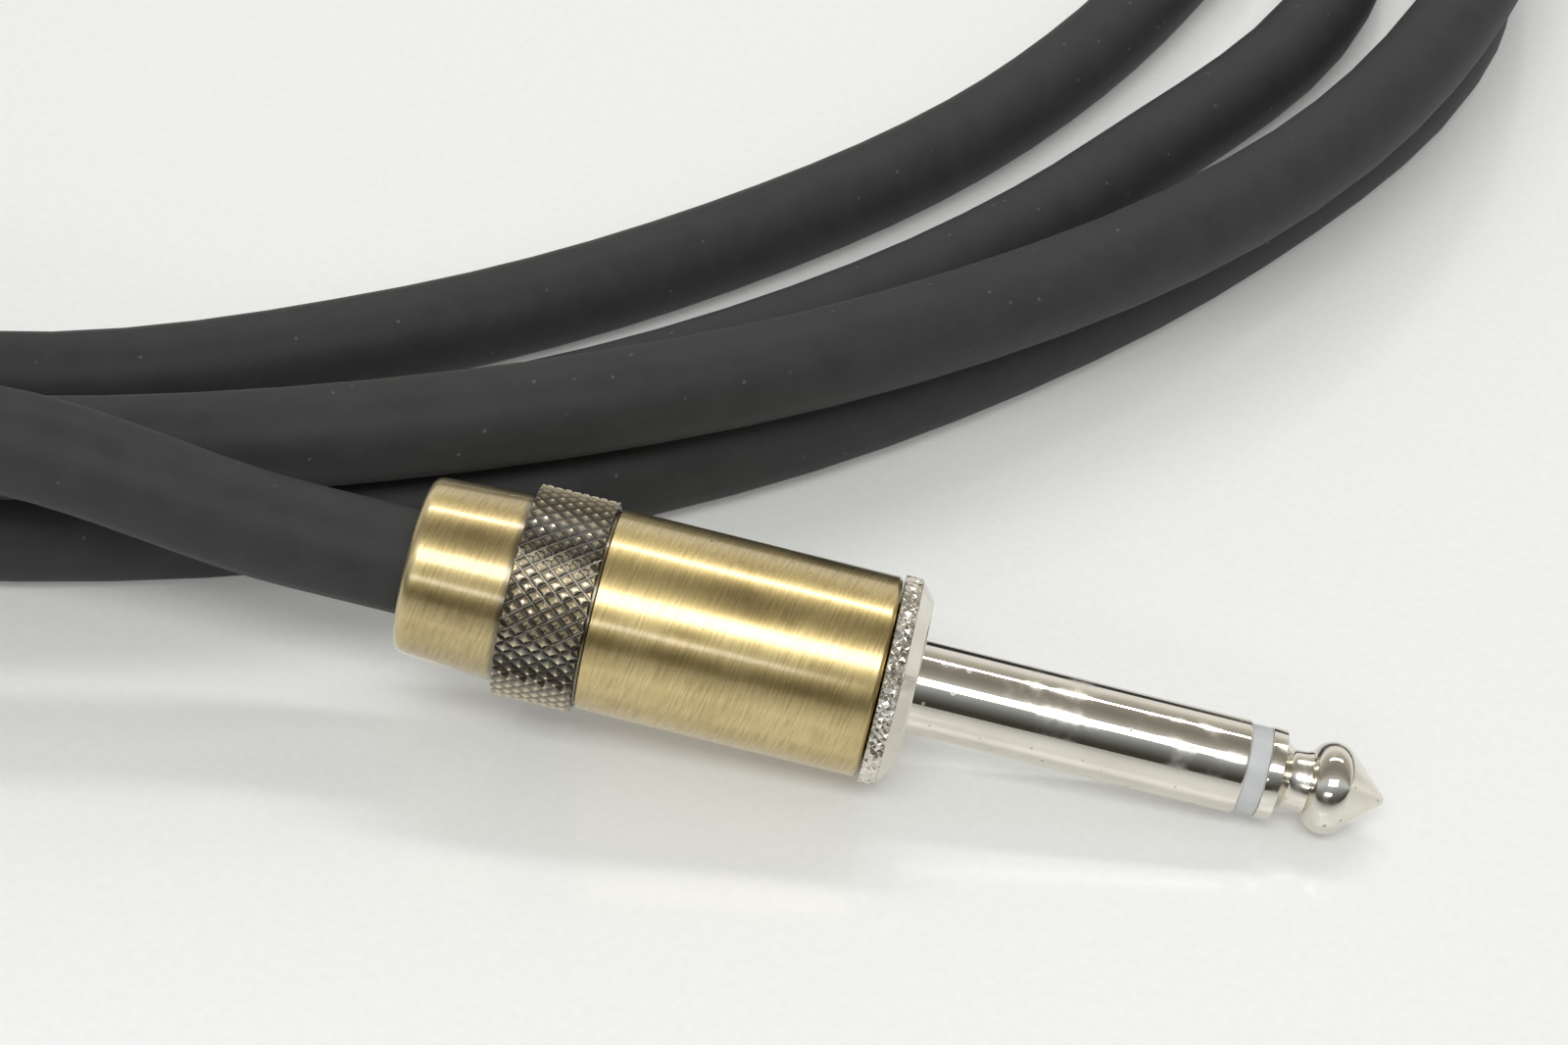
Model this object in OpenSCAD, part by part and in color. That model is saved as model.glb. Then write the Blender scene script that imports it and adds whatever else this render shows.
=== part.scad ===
// Instrument cable: a quarter-inch phone plug on each end of a hand-coiled round cable.
// Millimetres, +Z up. The plug in front lies along +X, resting on its flange rim and its tip.
// The origin is under the middle of that plug.

/* [Shaft] */
// Outside diameter of the sleeve contact
sleeve_d = 6.35; // [6.3:0.01:6.4]
// Length of the bare sleeve ahead of the shoulder
sleeve_len = 22.4; // [21:0.1:24]
// Wall of the sleeve contact
sleeve_wall = 0.85; // [0.75:0.05:1]
// Length of the insulating ring between sleeve and tip
ring_len = 1.4; // [1:0.1:2]
// Depth of the insulating ring below the sleeve's surface
ring_drop = 0.2; // [0.15:0.05:0.3]
// Diameter of the rod that carries the tip through the sleeve
rod_d = 2.2; // [1.9:0.1:2.6]

/* [Tip] */
// Length of the tip contact ahead of the insulating ring
tip_len = 8.2; // [7.8:0.1:8.8]
// Diameter of the collar behind the groove
collar_d = 6.2; // [6:0.05:6.3]
// Diameter at the bottom of the groove
neck_d = 3.9; // [3.7:0.1:4.2]
// Bottom of the groove, ahead of the insulating ring
neck_at = 2.25; // [2.1:0.05:2.4]
// Radius of the groove's curve
neck_curve = 1.25; // [1.15:0.05:1.3]
// Largest diameter of the ball
ball_d = 6.26; // [6.1:0.02:6.34]
// Largest diameter of the ball, ahead of the bottom of the groove
ball_step = 2.25; // [2.2:0.05:2.4]
// Radius of the ball's curve
ball_curve = 1.6; // [1.5:0.05:1.7]
// Diameter of the blunt point
point_d = 0.5; // [0.3:0.1:0.8]

/* [Flange] */
// Diameter of the knurled rim
rim_d = 14.2; // [13.8:0.1:14.6]
// Width of the knurled rim
rim_w = 1.2; // [1:0.1:1.6]
// Length of the bevel ahead of the rim
cone_len = 1; // [0.8:0.1:1.4]
// Diameter of the flat shoulder that stops against a jack
shoulder_d = 11.7; // [11:0.1:12.4]

/* [Shell] */
// Length of the screw-off shell
shell_len = 31.9; // [31:0.1:34]
// Diameter of the long front barrel
barrel_d = 13.7; // [13.4:0.1:14]
// Diameter at the rounded rear edge
rear_d = 12; // [11.6:0.1:12.4]
// Diameter where the rear taper meets the knurled band
waist_d = 12.8; // [12.5:0.1:13.2]
// Length of the smooth rear taper
rear_len = 7; // [6:0.1:8]
// Diameter over the knurled band
band_d = 14.4; // [14.1:0.1:14.8]
// Width of the knurled band
band_w = 5.5; // [4:0.1:6]
// Radius of the rounded rear edge
edge_r = 0.8; // [0.5:0.1:1]
// Thickness of the rear wall that the cable passes through
rear_wall = 3; // [2:0.1:3.4]
// Step in the bore that keeps the liner from sliding out at the back
liner_stop = 0.5; // [0.4:0.1:0.7]
// Length of the narrower bore behind the liner
stop_len = 4.9; // [3.5:0.1:5]
// Bevel on the band's edges and the barrel's front edge
edge_bevel = 0.25; // [0.15:0.05:0.35]

/* [Thread] */
// Outside diameter of the thread that holds the shell
thread_d = 11; // [10.8:0.1:11.4]
// Length of the thread
thread_len = 6.4; // [5.6:0.8:7.2]
// Travel of the shell in one turn
thread_pitch = 0.8; // [0.5:0.1:1]

/* [Inside] */
// Diameter of the neck behind the thread
hub_d = 6; // [5.6:0.1:6.2]
// Length of the neck behind the thread
hub_len = 2.5; // [2.2:0.1:3]
// Thickness of the ground clamp's seat on the neck
seat_t = 0.8; // [0.6:0.1:1]
// Thickness of the ground clamp's strap
strap_t = 0.5; // [0.4:0.1:0.6]
// Edge of the ground clamp's seat outside its strap
seat_lip = 0.2; // [0.1:0.05:0.3]
// Width of the ground clamp's strap
strap_w = 3; // [2.4:0.1:3.6]
// Thickness of the clamp's two arms round the jacket
arm_t = 0.6; // [0.5:0.1:0.7]
// Length of the clamp's arms along the cable
arm_len = 3.6; // [3:0.1:4]
// Thickness of the rear insulating washer
washer_t = 1; // [0.8:0.1:1.4]
// Diameter of the rear insulating washer
washer_d = 7.2; // [6.6:0.1:7.6]
// Thickness of the tip's solder lug
lug_t = 0.5; // [0.4:0.1:0.6]
// Width of the solder lug's ring round the rod
lug_rim = 1.5; // [1.4:0.1:1.7]
// Edge of the solder lug's ring outside its tab
lug_lip = 0.1; // [0.05:0.05:0.15]
// Width of the solder lug's tab
lug_w = 2.6; // [2.2:0.1:3]
// Length of the solder lug's tab
lug_len = 6.5; // [6:0.1:7]
// Diameter of the riveted head on the tip rod
head_d = 3.8; // [3.4:0.1:3.9]
// Thickness of the riveted head
head_t = 0.8; // [0.6:0.1:1]
// Distance of the solder beads from the ends they hold
bead_inset = 3; // [2.8:0.1:3.2]
// Diameter of the solder bead on the lug
tip_bead_d = 1.9; // [1.8:0.1:2]
// Diameter of the solder bead on the strap
ground_bead_d = 2; // [1.9:0.1:2.2]
// Depth of the solder beads over the wires
bead_drop = 0.35; // [0.3:0.05:0.4]
// Wall of the insulating liner
liner_t = 0.5; // [0.4:0.05:0.6]

/* [Cable] */
// Outside diameter of the cable's jacket
cable_d = 7.2; // [6.8:0.1:7.4]
// Diameter of the white insulation round the conductor
dielectric_d = 3; // [2.6:0.1:3.2]
// Bare length of that insulation ahead of the jacket
dielectric_len = 1.7; // [1.4:0.1:2]
// Gap between the end of that insulation and the solder lug's tab
core_gap = 0.3; // [0.2:0.1:0.6]
// Diameter of the stranded conductor
conductor_d = 0.9; // [0.7:0.1:1]
// Diameter of the twisted shield
shield_d = 1.2; // [1:0.1:1.3]
// Jacket kept ahead of the clamp's arms
jacket_out = 1; // [0.5:0.1:1.2]
// Straight length of a wire before its first bend
wire_stub = 0.6; // [0.5:0.1:0.7]
// Length of a wire past its solder bead's middle
wire_past = 1.4; // [1.2:0.1:1.6]
// Gap between the shield's tail and the insulation beside it
tail_gap = 0.2; // [0.15:0.05:0.3]
// Straight cable kept behind the shell at its furthest back
straight_len = 1.6; // [1:0.1:4]

/* [Coil] */
// Radius of the near and far arcs of the coil
near_r = 122; // [118:1:124]
// Radius of the two tighter sides of the coil
side_r = 66; // [64:1:68]
// Centre of the near arc, left of the origin
near_x = -86.2; // [-88:0.2:-84]
// Centre of the near arc, behind the origin
near_y = 126.1; // [125:0.1:128]
// Distance of the far plug inside the far arc
far_in = 41; // [40:0.5:43]
// Place of the far plug along the far arc
far_at = 116; // [114:1:118]

/* [Fits] */
// Running gap of the thread and of the liner in the shell's bore
run_gap = 0.05; // [0.03:0.01:0.08]
// Radial gap of the pieces pressed together inside the plug
press_gap = 0.02; // [0.01:0.01:0.03]
// Gap between the shell's front face and the flange
seam_gap = 0.1; // [0.08:0.02:0.2]
// Gap between the shell's rear hole and the cable
cable_gap = 0.4; // [0.3:0.05:0.5]
// Gap between a wire and the metal it is soldered to
solder_gap = 0.05; // [0.04:0.01:0.1]
// Gap between the liner and the pieces inside it
inside_gap = 0.6; // [0.5:0.05:0.7]
// Gap between the liner's ends and what they face
end_gap = 0.3; // [0.2:0.1:0.5]
// Gap between the turns of the coil
turn_gap = 0.5; // [0.45:0.05:0.7]

/* [Hidden] */
$fn = 64;

// Stations along a plug's axis, from the flange's rear face, towards the tip
shoulder_z = rim_w + cone_len;
ring_z = shoulder_z + sleeve_len;
tip_z = ring_z + ring_len;
apex_z = tip_z + tip_len;
ball_z = tip_z + neck_at + ball_step;
boss_z = -thread_len;
hub_z = boss_z - hub_len;
washer_z = hub_z - washer_t;
lug_z = washer_z - lug_t;
head_z = lug_z - head_t;
front_z = -seam_gap;
rear_z = front_z - shell_len;
floor_z = rear_z + rear_wall;
band_z = rear_z + rear_len;
liner_z = floor_z + stop_len;
dielectric_z = lug_z - lug_len - core_gap;
jacket_z = dielectric_z - dielectric_len;
arm_z = jacket_z - jacket_out - arm_len;
travel = thread_len;
cable_z = rear_z - travel - straight_len;

// Radii
sleeve_r = sleeve_d / 2;
bore_r = sleeve_r - sleeve_wall;
tube_out_r = bore_r - press_gap;
tube_in_r = rod_d / 2 + press_gap;
thread_r = thread_d / 2;
shell_bore_r = thread_r + run_gap;
liner_out_r = shell_bore_r - run_gap;
liner_in_r = liner_out_r - liner_t;
cable_r = cable_d / 2;
hole_r = cable_r + cable_gap;
arm_in_r = cable_r + solder_gap;
arm_out_r = arm_in_r + arm_t;
strap_out = liner_in_r - inside_gap;
strap_in = strap_out - strap_t;
seat_r = strap_out + seat_lip;
lug_r = rod_d / 2 + lug_rim;
tab_out = lug_r - lug_lip;
tab_in = tab_out - lug_t;
wire_y = tab_in - solder_gap - conductor_d / 2;
shield_y = strap_in - solder_gap - shield_d / 2;
lug_solder_z = lug_z - lug_len + bead_inset;
ground_solder_z = lug_z - bead_inset;

// Tilt of the front plug: the rim's front edge and the ball both touch the table
ball_r = ball_d / 2 - ball_curve;
tilt_a = rim_d / 2 - ball_r;
tilt_b = ball_z - rim_w;
tilt = acos(ball_curve / sqrt(tilt_a * tilt_a + tilt_b * tilt_b)) - atan2(tilt_b, tilt_a);
apex_x = apex_z * cos(tilt) + point_d / 2 * sin(tilt);
back_x = (rear_z + edge_r) * cos(tilt) - (rear_d / 2 - edge_r) * sin(tilt) - edge_r;
front_dir = [cos(tilt), 0, -sin(tilt)];
front_at = [-(apex_x + back_x) / 2, 0, rim_d / 2 * cos(tilt) + rim_w * sin(tilt)];

// The coil: an oval of four arcs, met clockwise from the front plug's lead
pitch = cable_d + turn_gap;
turn_out = -82;
turn_in = -14;
turn_span = turn_in - turn_out;
turns = 4;
coil_end = 360 * turns + 90;
near_c = [near_x, near_y, 0];
right_c = near_c + (near_r - side_r) * dir(turn_in);
left_c = near_c + (near_r - side_r) * dir(turn_out);
far_c = right_c + left_c - near_c;

// Where each turn lies on the near arc, outwards, in turn pitches
near_at = [292, 309, 326, 343, 360];
near_lay = [[0.73, 0.7, 0.36, 0.06, 0.03],
    [0.52, 0.16, 0, 0, 0],
    [-1, -1.38, -1.3, -1.12, -1.06],
    [-2.82, -2.95, -2.94, -2.64, -2.23]];
lane_at = [60, 72, 150, 250];
lane_lay = 1.01;
// Where the lead crosses the coil, is highest and comes down, and where the cable climbs and drops again
lead_at = [-24, 24];
lead_lay = [1.01, 0.51];
lead_layers = [1.87, 2.04];
lead_rise = 0.32;
lead_down = 130;
climb = [225, 288];
drop = [380, 480];
tail_lay = 0.6;
mark_at = concat(lead_at, [for (i = [0:turns]) each concat([for (a = lane_at) 360 * i + a],
    [for (a = near_at) if (i < turns) 360 * i + a])]);
mark_lay = concat(lead_lay, [for (i = [0:turns]) each concat(
    [for (j = [0:3]) lane_lay * (1 - i) - (i == turns && j > 1 ? tail_lay : 0)],
    [for (j = [0:4]) if (i < turns) near_lay[i][j]])]);

// Far plug: flat on the table inside the far arc
far_dir = [sin(far_at), -cos(far_at), 0];
far_mid = far_c + (near_r - far_in) * dir(far_at);
far_pos = far_mid - (apex_z + rear_z) / 2 * far_dir + [0, 0, band_d / 2];

function dir(a) = [cos(a), sin(a), 0];
function unit(v) = v / norm(v);
function eased(a, b, x) = let (u = min(1, max(0, (x - a) / (b - a)))) u * u * (3 - 2 * u);
function blend(p, m, q, n, u) = let (v = u * u, w = u * u * u)
    (2 * w - 3 * v + 1) * p + (w - 2 * v + u) * m + (3 * v - 2 * w) * q + (w - v) * n;

// Sideways place of the cable on the oval, and its height in layers
function step_of(j) = mark_lay[j + 1] - mark_lay[j];
function slope_of(j) = j <= 0 || j >= len(mark_at) - 1 ? 0
    : step_of(j - 1) * step_of(j) <= 0 ? 0
    : (mark_lay[j + 1] - mark_lay[j - 1]) / (mark_at[j + 1] - mark_at[j - 1]);
function mark_of(t) = min(len([for (a = mark_at) if (a <= t) a]) - 1, len(mark_at) - 2);
function lay(t) = let (j = mark_of(t), h = mark_at[j + 1] - mark_at[j], u = (t - mark_at[j]) / h)
    pitch * blend(mark_lay[j], slope_of(j) * h, mark_lay[j + 1], slope_of(j + 1) * h, u);
function lead_layer(t) = t < lead_at[1] ? blend(lead_layers[0], lead_rise, lead_layers[1], 0, t / lead_at[1])
    : lead_layers[1] * (1 - eased(lead_at[1], lead_down, t));
function layer(t) = lead_layer(t) + eased(climb[0], climb[1], t) - eased(drop[0], drop[1], t);
function oval_part(t) = let (m = 360 - t % 360)
    m <= turn_span ? 0 : m <= 180 ? 1 : m <= 180 + turn_span ? 2 : 3;
function coil_at(t) = let (k = oval_part(t))
    [near_c, right_c, far_c, left_c][k]
    + ([near_r, side_r, near_r, side_r][k] + lay(t)) * dir(turn_out - t)
    + [0, 0, cable_r + pitch * layer(t)];
function coil_dir(t) = unit(coil_at(t + 0.5) - coil_at(t - 0.5));
function level(v) = unit([v[0], v[1], 0]);

// Centre line of each length of cable, as places and directions
coil_start_dir = unit(coil_at(1) - coil_at(0));
coil_stop_dir = level(coil_at(coil_end) - coil_at(coil_end - 1));
coil_first = coil_at(0) - cable_d * coil_start_dir;
coil_last = coil_at(coil_end) + cable_d * coil_stop_dir;
coil_route = concat([[coil_first, coil_start_dir], [coil_at(0), coil_start_dir]],
    [for (t = [15:15:coil_end - 15]) [coil_at(t), coil_dir(t)]],
    [[coil_at(coil_end), coil_stop_dir], [coil_last, coil_stop_dir]]);
lead_from = front_at + cable_z * front_dir;
lead_route = free_route(lead_from, -front_dir, coil_first, coil_start_dir, 6);
tail_to = far_pos + cable_z * far_dir;
tail_route = free_route(coil_last, coil_stop_dir, tail_to, far_dir, 8);

function free_route(p, m, q, n, count) = let (k = norm(q - p)) [for (i = [0:count])
    let (u = i / count, e = 0.01)
    [blend(p, k * m, q, k * n, u),
        i == 0 ? m : i == count ? n
        : unit(blend(p, k * m, q, k * n, u + e) - blend(p, k * m, q, k * n, u - e))]];

// Least gap of the coil to itself, between points more than half a turn apart
coil_points = [for (t = [0:5:coil_end]) coil_at(t)];
coil_gap = min([for (i = [0:len(coil_points) - 1]) for (j = [i + 36:1:len(coil_points) - 1])
    norm(coil_points[i] - coil_points[j])]) - cable_d;
coil_len = [for (i = [1:len(coil_points) - 1]) norm(coil_points[i] - coil_points[i - 1])]
    * [for (i = [1:len(coil_points) - 1]) 1];
echo(coil_gap = coil_gap, coil_len = coil_len, tilt = tilt);
echo(front_at = front_at, front_dir = front_dir, far_pos = far_pos, far_dir = far_dir);

// A tube through a route: one closed skin
module tube(route, r, sides, turned) {
    count = len(route);
    points = [for (s = route) for (k = [0:sides - 1])
        let (right = unit(cross(s[1], [0, 0, 1])), up = cross(right, s[1]), a = 360 * k / sides + turned)
        s[0] + r * cos(a) * right + r * sin(a) * up];
    walls = [for (i = [0:count - 2]) for (k = [0:sides - 1])
        let (n = (k + 1) % sides, p = i * sides, q = p + sides)
        each [[p + k, p + n, q + n], [p + k, q + n, q + k]]];
    start = [for (k = [1:sides - 2]) [0, k + 1, k]];
    last = (count - 1) * sides;
    stop = [for (k = [1:sides - 2]) [last, last + k, last + k + 1]];
    polyhedron(points = points, faces = concat(start, walls, stop));
}

module rod(p, q, r) {
    v = q - p;
    translate(p)
        rotate([0, acos(v[2] / norm(v)), atan2(v[1], v[0])])
            cylinder(r = r, h = norm(v), $fn = 24);
}

// A bent wire: straight lengths with a rounded knuckle at each bend
module wire(stops, r) {
    for (i = [1:len(stops) - 1])
        rod(stops[i - 1], stops[i], r);
    for (i = [1:len(stops) - 2])
        translate(stops[i])
            sphere(r = 1.05 * r, $fn = 24);
}

module ring(out_r, in_r, z0, z1) {
    translate([0, 0, z0])
        difference() {
            cylinder(r = out_r, h = z1 - z0);
            translate([0, 0, -1])
                cylinder(r = in_r, h = z1 - z0 + 2);
        }
}

// Tip contact, its rod and the riveted head, turned from one bar
module tip() {
    groove_r = neck_d / 2 + neck_curve;
    groove_a = 180 + asin((groove_r - collar_d / 2) / neck_curve);
    groove_z = tip_z + neck_at;
    groove = [for (i = [0:8]) let (a = groove_a + i * (300 - groove_a) / 8)
        [groove_r + neck_curve * sin(a), groove_z + neck_curve * cos(a)]];
    ball = [for (i = [0:10]) let (a = 158 - i * 11.3)
        [ball_r + ball_curve * sin(a), ball_z + ball_curve * cos(a)]];
    color([0.8, 0.79, 0.76])
        rotate_extrude()
            polygon(concat([[0, head_z], [head_d / 2, head_z], [head_d / 2, lug_z], [rod_d / 2, lug_z],
                [rod_d / 2, tip_z], [collar_d / 2, tip_z]], groove, ball,
                [[point_d / 2, apex_z], [0, apex_z]]));
}

// Insulating ring between sleeve and tip
module tip_ring() {
    color([0.78, 0.78, 0.77])
        ring(sleeve_r - ring_drop, tube_in_r, ring_z, tip_z);
}

// Sleeve contact, flange, thread and neck, turned from one bar
module plug_body() {
    lead_in = thread_pitch / 2;
    color([0.8, 0.79, 0.76])
        rotate_extrude()
            polygon([[bore_r, hub_z], [hub_d / 2, hub_z], [hub_d / 2, boss_z],
                [thread_r - lead_in, boss_z], [thread_r, boss_z + lead_in], [thread_r, 0],
                [rim_d / 2, 0], [rim_d / 2, rim_w], [shoulder_d / 2, shoulder_z],
                [sleeve_r, shoulder_z], [sleeve_r, ring_z], [bore_r, ring_z]]);
}

// Insulating tube between the sleeve and the tip's rod
module core_tube() {
    color([0.9, 0.9, 0.86])
        ring(tube_out_r, tube_in_r, hub_z, ring_z);
}

// Insulating washer under the tip's solder lug
module rear_washer() {
    color([0.55, 0.33, 0.2])
        ring(washer_d / 2, tube_in_r, washer_z, hub_z);
}

// Solder lug of the tip, held by the riveted head
module tip_lug() {
    color([0.85, 0.8, 0.65])
        difference() {
            union() {
                translate([0, 0, lug_z])
                    cylinder(r = lug_r, h = lug_t);
                translate([-lug_w / 2, tab_in, lug_z - lug_len])
                    cube([lug_w, lug_t, lug_len + lug_t]);
            }
            translate([0, 0, lug_z - 1])
                cylinder(r = tube_in_r, h = lug_t + 2);
        }
}

// Ground clamp: seat on the neck, strap, and two arms closed on the jacket
module ground_clamp() {
    color([0.82, 0.81, 0.78])
        difference() {
            union() {
                translate([0, 0, boss_z - seat_t])
                    cylinder(r = seat_r, h = seat_t);
                translate([-strap_w / 2, -strap_out, arm_z])
                    cube([strap_w, strap_t, boss_z - arm_z]);
                translate([0, 0, arm_z])
                    cylinder(r = arm_out_r, h = arm_len);
            }
            translate([0, 0, boss_z - seat_t - 1])
                cylinder(r = hub_d / 2 + press_gap, h = seat_t + 2);
            translate([0, 0, arm_z - 1])
                cylinder(r = arm_in_r, h = arm_len + 2);
            translate([-strap_w / 2, 0, arm_z - 1])
                cube([strap_w, arm_out_r + 1, arm_len + 2]);
        }
}

// Screw-off shell: rounded rear edge, taper, knurled band and long barrel
module shell() {
    stop_r = shell_bore_r - liner_stop;
    edge = [for (i = [0:6]) let (a = 15 * i)
        [rear_d / 2 - edge_r + edge_r * sin(a), rear_z + edge_r - edge_r * cos(a)]];
    color([0.66, 0.53, 0.3])
        rotate_extrude()
            polygon(concat([[hole_r, rear_z]], edge,
                [[waist_d / 2, band_z], [band_d / 2 - edge_bevel, band_z], [band_d / 2, band_z + edge_bevel],
                    [band_d / 2, band_z + band_w - edge_bevel], [band_d / 2 - edge_bevel, band_z + band_w],
                    [barrel_d / 2, band_z + band_w], [barrel_d / 2, front_z - edge_bevel],
                    [barrel_d / 2 - edge_bevel, front_z], [shell_bore_r, front_z],
                    [shell_bore_r, liner_z - end_gap], [stop_r, liner_z - end_gap], [stop_r, floor_z],
                    [hole_r, floor_z]]));
}

// Insulating sleeve between the shell and the soldered joints
module shell_liner() {
    color([0.15, 0.15, 0.16])
        ring(liner_out_r, liner_in_r, liner_z, boss_z - seat_t - end_gap);
}

// Cable's end inside the shell: jacket, straight through the rear hole
module cable_end() {
    color([0.12, 0.12, 0.125])
        translate([0, 0, cable_z])
            cylinder(r = cable_r, h = jacket_z - cable_z);
}

// Insulation round the conductor, bared ahead of the jacket
module dielectric() {
    color([0.92, 0.92, 0.9])
        translate([0, 0, jacket_z])
            cylinder(r = dielectric_d / 2, h = dielectric_len);
}

// Stranded conductor, from its insulation to the tip's solder lug
module conductor() {
    bend_z = dielectric_z + wire_stub;
    color([0.8, 0.5, 0.32])
        wire([[0, 0, dielectric_z], [0, 0, bend_z], [0, wire_y, bend_z + wire_y],
            [0, wire_y, lug_solder_z + wire_past]], conductor_d / 2);
}

// Shield, twisted to one tail, from the jacket's end to the ground clamp's strap
module shield_tail() {
    from_y = dielectric_d / 2 + shield_d / 2 + tail_gap;
    bend_z = jacket_z + wire_stub;
    color([0.8, 0.5, 0.32])
        wire([[0, -from_y, jacket_z], [0, -from_y, bend_z],
            [0, -shield_y, bend_z + 1.5 * (shield_y - from_y)],
            [0, -shield_y, ground_solder_z + wire_past]], shield_d / 2);
}

// Solder bead of the conductor on the tip's lug
module tip_solder() {
    color([0.72, 0.73, 0.74])
        translate([0, tab_in - bead_drop, lug_solder_z])
            sphere(d = tip_bead_d, $fn = 32);
}

// Solder bead of the shield on the ground clamp's strap
module ground_solder() {
    color([0.72, 0.73, 0.74])
        translate([0, bead_drop - strap_in, ground_solder_z])
            sphere(d = ground_bead_d, $fn = 32);
}

// Cable from the front plug up to the coil
module cable_lead() {
    color([0.12, 0.12, 0.125])
        tube(lead_route, cable_r, 12, 0);
}

// The coil, one unbroken length of cable
module cable_coil() {
    color([0.12, 0.12, 0.125])
        tube(coil_route, cable_r, 6, 30);
}

// Cable from the coil to the far plug
module cable_tail() {
    color([0.12, 0.12, 0.125])
        tube(tail_route, cable_r, 12, 0);
}

// The front plug's place, and the far plug's
module place_a() {
    translate(front_at)
        rotate([0, 90 + tilt, 0])
            children();
}

module place_b() {
    translate(far_pos)
        rotate([0, 90, far_at - 90])
            children();
}

place_a() tip();  // tip_a
place_a() tip_ring();  // tip_ring_a
place_a() plug_body();  // plug_body_a
place_a() core_tube();  // core_tube_a
place_a() rear_washer();  // rear_washer_a
place_a() tip_lug();  // tip_lug_a
place_a() ground_clamp();  // ground_clamp_a
place_a() shell();  // shell_a
place_a() shell_liner();  // shell_liner_a
place_a() conductor();  // conductor_a
place_a() dielectric();  // dielectric_a
place_a() shield_tail();  // shield_tail_a
place_a() tip_solder();  // tip_solder_a
place_a() ground_solder();  // ground_solder_a
place_a() cable_end();  // cable_end_a
cable_lead();
cable_coil();
cable_tail();
place_b() cable_end();  // cable_end_b
place_b() shield_tail();  // shield_tail_b
place_b() dielectric();  // dielectric_b
place_b() conductor();  // conductor_b
place_b() ground_solder();  // ground_solder_b
place_b() tip_solder();  // tip_solder_b
place_b() shell_liner();  // shell_liner_b
place_b() shell();  // shell_b
place_b() ground_clamp();  // ground_clamp_b
place_b() tip_lug();  // tip_lug_b
place_b() rear_washer();  // rear_washer_b
place_b() core_tube();  // core_tube_b
place_b() plug_body();  // plug_body_b
place_b() tip_ring();  // tip_ring_b
place_b() tip();  // tip_b
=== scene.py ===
import math
import random

import bmesh
import bpy
from mathutils import Matrix, Vector


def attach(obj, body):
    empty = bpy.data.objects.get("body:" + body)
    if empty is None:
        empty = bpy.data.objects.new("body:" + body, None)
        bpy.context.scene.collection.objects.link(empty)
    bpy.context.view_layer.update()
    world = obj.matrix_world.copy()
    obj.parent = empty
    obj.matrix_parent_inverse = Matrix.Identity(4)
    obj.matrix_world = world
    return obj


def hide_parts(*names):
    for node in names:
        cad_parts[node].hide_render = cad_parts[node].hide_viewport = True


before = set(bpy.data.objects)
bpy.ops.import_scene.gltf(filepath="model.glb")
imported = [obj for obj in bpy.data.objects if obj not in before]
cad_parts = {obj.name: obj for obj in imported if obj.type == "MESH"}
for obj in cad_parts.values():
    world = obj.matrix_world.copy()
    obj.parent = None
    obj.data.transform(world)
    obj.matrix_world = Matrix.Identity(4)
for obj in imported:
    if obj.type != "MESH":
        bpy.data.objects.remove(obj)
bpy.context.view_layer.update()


# Camera: a short telephoto on a stand, looking down on the front plug from the near side of the table.
# The whole plug is in the picture, and the near side of the coil runs out of it at the left and the top.
mm = 0.001
camera_place = Vector((15.14, -167.23, 161.07)) * mm
camera_azimuth = math.radians(7.81)
camera_elevation = math.radians(40)
camera_roll = math.radians(-2.87)
picture_width_px = 1600
focal_px = 3492
sensor_width = 36

sight = Vector((-math.sin(camera_azimuth) * math.cos(camera_elevation),
                math.cos(camera_azimuth) * math.cos(camera_elevation),
                -math.sin(camera_elevation)))
level_right = Vector((math.cos(camera_azimuth), math.sin(camera_azimuth), 0))
level_down = sight.cross(level_right)
right = math.cos(camera_roll) * level_right + math.sin(camera_roll) * level_down
down = -math.sin(camera_roll) * level_right + math.cos(camera_roll) * level_down
lens = bpy.data.cameras.new("picture_camera")
lens.sensor_width = sensor_width
lens.lens = sensor_width * focal_px / picture_width_px
lens.clip_start = 0.005
camera = bpy.data.objects.new("picture_camera", lens)
camera.matrix_world = Matrix.Translation(camera_place) @ Matrix((right, -down, -sight)).transposed().to_4x4()
bpy.context.scene.collection.objects.link(camera)
bpy.context.scene.camera = camera
bpy.context.scene.view_settings.view_transform = "Standard"


# Table: a pale, hard, slightly worn plastic sheet, larger than any view of the cable.
# It has a faint painted glow of its own that lifts its shadows, and a faint unevenness softens its
# reflections.
table_half = 1.6
table_painted_glow = 0.14
table_tones = (0.785, 0.795, 0.775), (0.815, 0.825, 0.805)


def added(tree, kind, sockets=(), **settings):
    node = tree.nodes.new("ShaderNode" + kind)
    for setting, value in settings.items():
        setattr(node, setting, value)
    for socket, value in dict(sockets).items():
        if isinstance(value, bpy.types.NodeSocket):
            tree.links.new(value, node.inputs[socket])
        else:
            node.inputs[socket].default_value = value
    return node


def new_finish(name):
    finish = bpy.data.materials.new(name)
    finish.use_nodes = True
    tree = finish.node_tree
    return finish, tree, tree.nodes["Principled BSDF"], added(tree, "TexCoord").outputs["Object"]


def graded(tree, value, stops):
    ramp = added(tree, "ValToRGB", {"Fac": value})
    while len(ramp.color_ramp.elements) < len(stops):
        ramp.color_ramp.elements.new(0.5)
    for element, (stop, colour) in zip(ramp.color_ramp.elements, stops):
        element.position = stop
        element.color = (*colour, 1)
    return ramp.outputs["Color"]


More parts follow.
